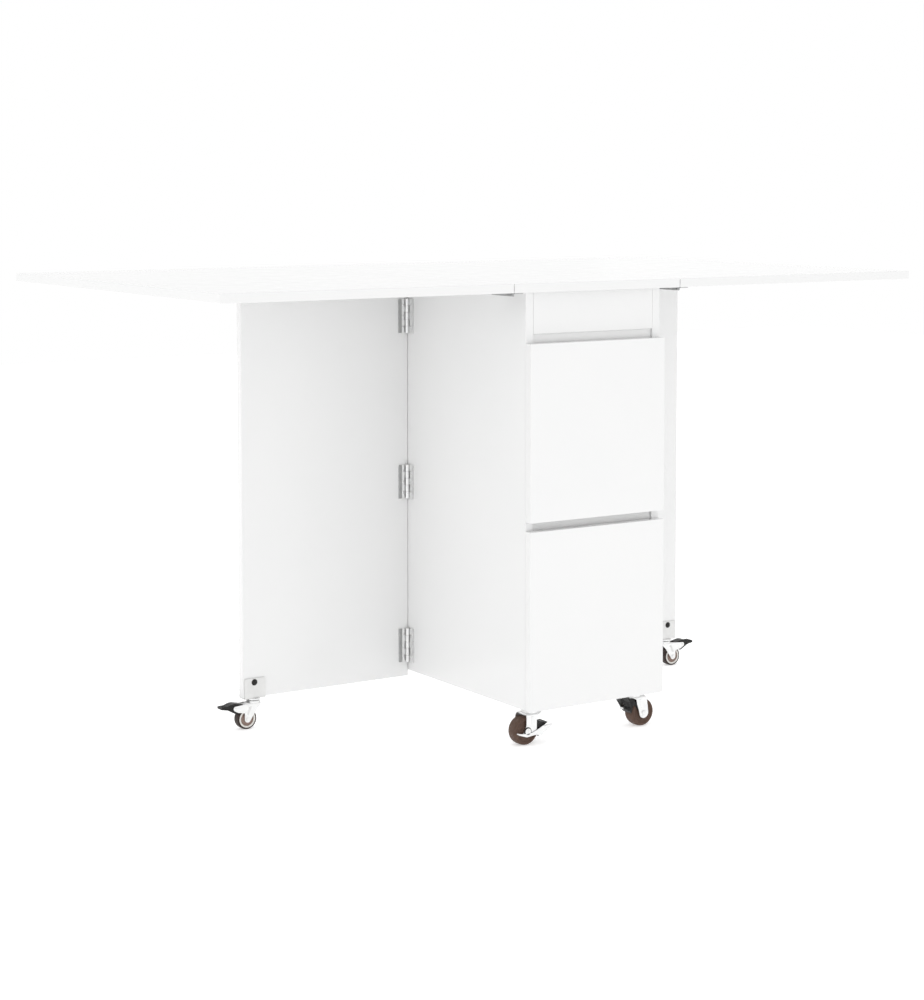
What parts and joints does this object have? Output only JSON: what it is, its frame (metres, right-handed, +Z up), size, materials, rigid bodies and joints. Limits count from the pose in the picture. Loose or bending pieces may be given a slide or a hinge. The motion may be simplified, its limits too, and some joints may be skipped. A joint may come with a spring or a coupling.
{
  "type": "gateleg table",
  "caption": "White gateleg table: a narrow drawer cabinet on casters, with drop leaves carried by hinged gates that swing out on braked casters.",
  "frame": {"origin": "on the floor under the middle of the table", "axes": "+X along the long top, +Y from the drawer fronts to the back, +Z up"},
  "size_m": [1.4, 0.8, 0.77],
  "materials": {
    "white_lacquer": "white gloss lacquer on fibreboard, lightly rounded edges",
    "drawer_board": "matt white melamine on thin board",
    "zinc_steel": "bright zinc plating",
    "dull_zinc": "dull zinc plating",
    "bracket_grey": "light grey lacquer on pressed steel",
    "brown_rubber": "dark brown, satin",
    "dark_rubber": "near-black brown, satin, lightly ribbed",
    "black_plastic": "black, satin, finely grained",
    "hub_plastic": "pinkish brown wheel centre, matt",
    "pale_plastic": "off-white, satin"
  },
  "bodies": {
    "cabinet": {"cabinet_bottom": "white_lacquer", "cabinet_divider": "white_lacquer", "cabinet_rail": "white_lacquer", "cabinet_side_left": "white_lacquer", "cabinet_side_right": "white_lacquer", "caster_plate_front_left": "zinc_steel", "caster_plate_front_right": "zinc_steel", "caster_plate_rear_left": "zinc_steel", "caster_plate_rear_right": "zinc_steel", "front_rail": "white_lacquer", "gate_hinge_left_lower_fixed": "zinc_steel", "gate_hinge_left_middle_fixed": "zinc_steel", "gate_hinge_left_upper_fixed": "zinc_steel", "gate_hinge_right_lower_fixed": "zinc_steel", "gate_hinge_right_middle_fixed": "zinc_steel", "gate_hinge_right_upper_fixed": "zinc_steel", "leaf_hinge_left_fixed": "dull_zinc", "leaf_hinge_right_fixed": "dull_zinc", "rear_shelf": "white_lacquer", "tabletop_centre": "white_lacquer"},
    "upper_drawer": {"drawer_back_upper": "drawer_board", "drawer_base_upper": "drawer_board", "drawer_front_upper": "white_lacquer", "drawer_side_upper_left": "drawer_board", "drawer_side_upper_right": "drawer_board"},
    "lower_drawer": {"drawer_back_lower": "drawer_board", "drawer_base_lower": "drawer_board", "drawer_front_lower": "white_lacquer", "drawer_side_lower_left": "drawer_board", "drawer_side_lower_right": "drawer_board"},
    "left_leaf": {"leaf_panel_left": "white_lacquer", "leaf_hinge_left_moving": "dull_zinc"},
    "left_gate": {"gate_panel_left": "white_lacquer", "gate_caster_bracket_left": "bracket_grey", "gate_hinge_left_lower_moving": "zinc_steel", "gate_hinge_left_middle_moving": "zinc_steel", "gate_hinge_left_upper_moving": "zinc_steel"},
    "left_gate_fork": {"gate_caster_fork_left": "zinc_steel"},
    "left_gate_wheel": {"gate_caster_wheel_left": "dark_rubber"},
    "left_gate_pedal": {"gate_caster_pedal_left": "black_plastic"},
    "right_leaf": {"leaf_panel_right": "white_lacquer", "leaf_hinge_right_moving": "dull_zinc"},
    "right_gate": {"gate_panel_right": "white_lacquer", "gate_caster_bracket_right": "bracket_grey", "gate_hinge_right_lower_moving": "zinc_steel", "gate_hinge_right_middle_moving": "zinc_steel", "gate_hinge_right_upper_moving": "zinc_steel"},
    "right_gate_fork": {"gate_caster_fork_right": "zinc_steel"},
    "right_gate_wheel": {"gate_caster_wheel_right": "dark_rubber"},
    "right_gate_pedal": {"gate_caster_pedal_right": "black_plastic"},
    "front_left_fork": {"caster_fork_front_left": "zinc_steel"},
    "front_left_wheel": {"caster_wheel_front_left": "brown_rubber"},
    "front_left_brake": {"caster_brake_front_left": "black_plastic"},
    "front_right_fork": {"caster_fork_front_right": "zinc_steel"},
    "front_right_wheel": {"caster_wheel_front_right": "brown_rubber"},
    "front_right_brake": {"caster_brake_front_right": "black_plastic"},
    "rear_left_fork": {"caster_fork_rear_left": "zinc_steel"},
    "rear_left_wheel": {"caster_wheel_rear_left": "brown_rubber"},
    "rear_right_fork": {"caster_fork_rear_right": "zinc_steel"},
    "rear_right_wheel": {"caster_wheel_rear_right": "brown_rubber"}
  },
  "joints": [
    {"name": "upper_drawer_slide", "type": "slide", "parent": "cabinet", "child": "upper_drawer", "axis": [0, -1, 0], "range_m": [0, 0.26]},
    {"name": "lower_drawer_slide", "type": "slide", "parent": "cabinet", "child": "lower_drawer", "axis": [0, -1, 0], "range_m": [0, 0.26]},
    {"name": "left_leaf_hinge", "type": "hinge", "parent": "cabinet", "child": "left_leaf", "pos_m": [-0.17, -0.366, 0.752], "axis": [0, 1, 0], "range_deg": [0, 3.3]},
    {"name": "left_gate_hinge", "type": "hinge", "parent": "cabinet", "child": "left_gate", "pos_m": [-0.1425, -0.0226, 0], "axis": [0, 0, 1], "range_deg": [0, 90]},
    {"name": "left_gate_swivel", "type": "hinge", "parent": "left_gate", "child": "left_gate_fork", "pos_m": [-0.4455, -0.0101, 0.048], "axis": [0, 0, 1], "continuous": true},
    {"name": "left_gate_wheel_spin", "type": "hinge", "parent": "left_gate_fork", "child": "left_gate_wheel", "pos_m": [-0.4601, -0.0101, 0.018], "axis": [0, 1, 0], "continuous": true},
    {"name": "left_gate_pedal_press", "type": "hinge", "parent": "left_gate_fork", "child": "left_gate_pedal", "pos_m": [-0.483, -0.0101, 0.0385], "axis": [0, -1, 0], "range_deg": [0, 14]},
    {"name": "right_leaf_hinge", "type": "hinge", "parent": "cabinet", "child": "right_leaf", "pos_m": [0.17, -0.366, 0.752], "axis": [0, -1, 0], "range_deg": [0, 3.3]},
    {"name": "right_gate_hinge", "type": "hinge", "parent": "cabinet", "child": "right_gate", "pos_m": [0.1425, -0.0226, 0], "axis": [0, 0, -1], "range_deg": [0, 90]},
    {"name": "right_gate_swivel", "type": "hinge", "parent": "right_gate", "child": "right_gate_fork", "pos_m": [0.4455, -0.0101, 0.048], "axis": [0, 0, -1], "continuous": true},
    {"name": "right_gate_wheel_spin", "type": "hinge", "parent": "right_gate_fork", "child": "right_gate_wheel", "pos_m": [0.4601, -0.0101, 0.018], "axis": [0, 1, 0], "continuous": true},
    {"name": "right_gate_pedal_press", "type": "hinge", "parent": "right_gate_fork", "child": "right_gate_pedal", "pos_m": [0.483, -0.0101, 0.0385], "axis": [0, 1, 0], "range_deg": [0, 14]},
    {"name": "front_left_swivel", "type": "hinge", "parent": "cabinet", "child": "front_left_fork", "pos_m": [-0.1075, -0.355, 0.057], "axis": [0, 0, 1], "continuous": true},
    {"name": "front_left_wheel_spin", "type": "hinge", "parent": "front_left_fork", "child": "front_left_wheel", "pos_m": [-0.1211, -0.355, 0.024], "axis": [0, 1, 0], "continuous": true},
    {"name": "front_left_brake_press", "type": "hinge", "parent": "front_left_fork", "child": "front_left_brake", "pos_m": [-0.1211, -0.355, 0.024], "axis": [0, 1, 0], "range_deg": [-28, 0]},
    {"name": "front_right_swivel", "type": "hinge", "parent": "cabinet", "child": "front_right_fork", "pos_m": [0.1075, -0.355, 0.057], "axis": [0, 0, -1], "continuous": true},
    {"name": "front_right_wheel_spin", "type": "hinge", "parent": "front_right_fork", "child": "front_right_wheel", "pos_m": [0.1211, -0.355, 0.024], "axis": [0, 1, 0], "continuous": true},
    {"name": "front_right_brake_press", "type": "hinge", "parent": "front_right_fork", "child": "front_right_brake", "pos_m": [0.1211, -0.355, 0.024], "axis": [0, -1, 0], "range_deg": [0, 28]},
    {"name": "rear_left_swivel", "type": "hinge", "parent": "cabinet", "child": "rear_left_fork", "pos_m": [-0.1075, 0.355, 0.057], "axis": [0, 0, 1], "continuous": true},
    {"name": "rear_left_wheel_spin", "type": "hinge", "parent": "rear_left_fork", "child": "rear_left_wheel", "pos_m": [-0.1211, 0.355, 0.024], "axis": [0, 1, 0], "continuous": true},
    {"name": "rear_right_swivel", "type": "hinge", "parent": "cabinet", "child": "rear_right_fork", "pos_m": [0.1075, 0.355, 0.057], "axis": [0, 0, -1], "continuous": true},
    {"name": "rear_right_wheel_spin", "type": "hinge", "parent": "rear_right_fork", "child": "rear_right_wheel", "pos_m": [0.1211, 0.355, 0.024], "axis": [0, 1, 0], "continuous": true}
  ]
}
